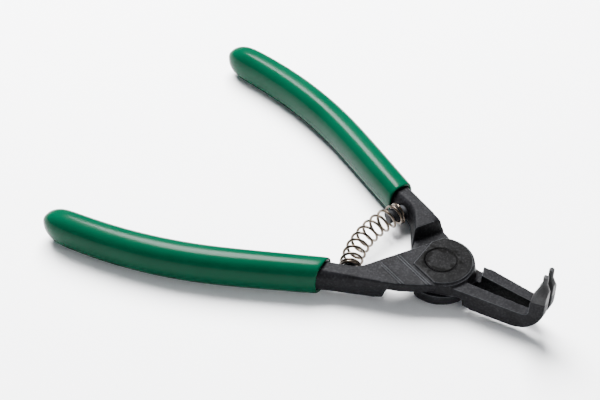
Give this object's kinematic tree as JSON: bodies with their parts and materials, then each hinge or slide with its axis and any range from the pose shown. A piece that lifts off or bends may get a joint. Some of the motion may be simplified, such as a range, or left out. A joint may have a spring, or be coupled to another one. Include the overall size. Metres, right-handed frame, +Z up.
{
  "type": "circlip pliers",
  "caption": "Bent-tip external circlip pliers: two forged arms in a riveted lap joint, dipped grips and a bowed return spring.",
  "frame": {"origin": "on the pivot axis at the underside of the lower joint boss", "axes": "+X from the pivot to the tips, +Y to the lower arm's side, +Z up along the pivot and the bent tips"},
  "size_m": [0.1676, 0.12, 0.0284],
  "materials": {
    "black_steel": "satin",
    "spring_steel": "satin",
    "green_vinyl": "gloss"
  },
  "bodies": {
    "lower_half": {"lower_arm": "black_steel", "lower_grip": "green_vinyl", "lower_spring_peg": "black_steel", "pivot_rivet": "black_steel", "return_spring": "spring_steel"},
    "upper_half": {"upper_arm": "black_steel", "upper_grip": "green_vinyl", "upper_spring_peg": "black_steel"}
  },
  "joints": [
    {"name": "arm_pivot", "type": "hinge", "parent": "lower_half", "child": "upper_half", "pos_m": [0, 0, 0.0054], "axis": [0, 0, -1], "range_deg": [-2.5, 30], "stiffness_Nm_per_rad": 0.8, "deforming": ["return_spring"]}
  ]
}
